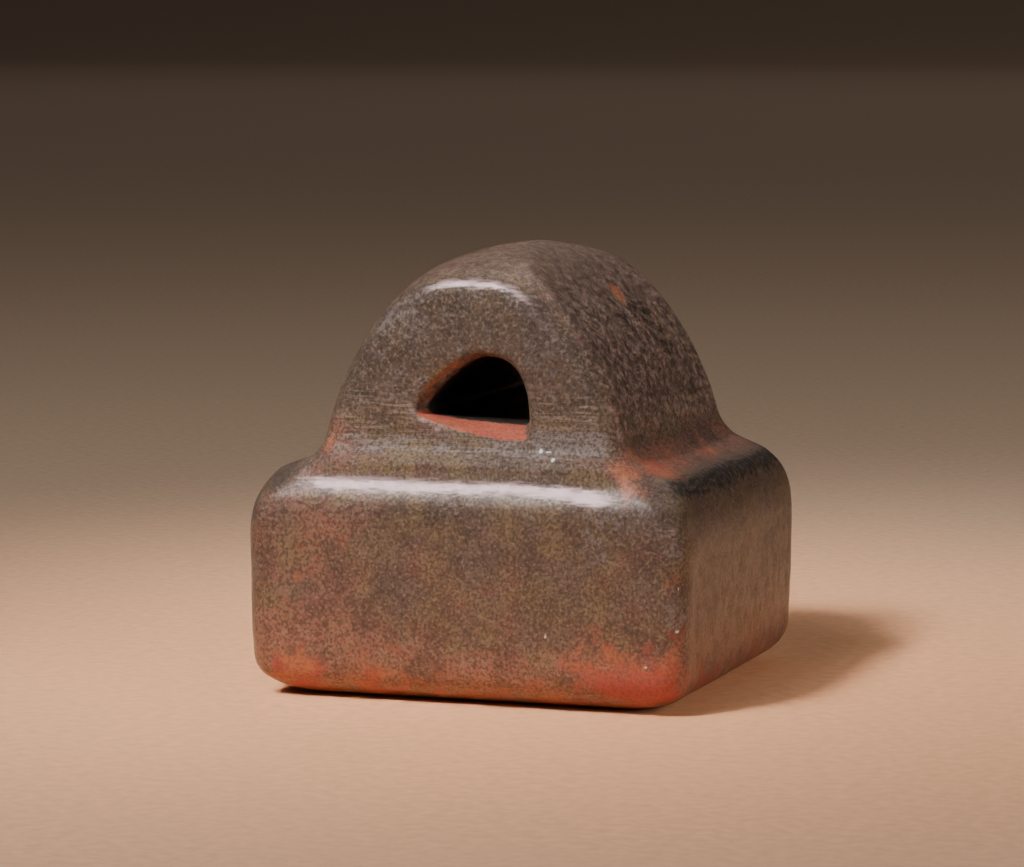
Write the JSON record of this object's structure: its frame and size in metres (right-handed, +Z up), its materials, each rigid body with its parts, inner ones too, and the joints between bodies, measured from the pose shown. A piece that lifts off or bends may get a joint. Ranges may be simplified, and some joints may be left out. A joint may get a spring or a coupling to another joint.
{
  "type": "bronze seal with an arched knob",
  "caption": "Small square cast bronze seal with rounded edges, a thick arched knob pierced by a cord tunnel, and shallow strokes on its face.",
  "frame": {"origin": "middle of the seal face, on the surface that the seal stands on", "axes": "+Z up through the knob; +X to the right across the front; the cord tunnel runs along Y, and -Y is the front"},
  "size_m": [0.0234, 0.022, 0.023],
  "materials": {
    "bronze": "old cast bronze with a brown patina, worn bright on its edges, with red seal paste left low on its sides"
  },
  "bodies": {
    "root": {"seal": "bronze"}
  },
  "joints": []
}
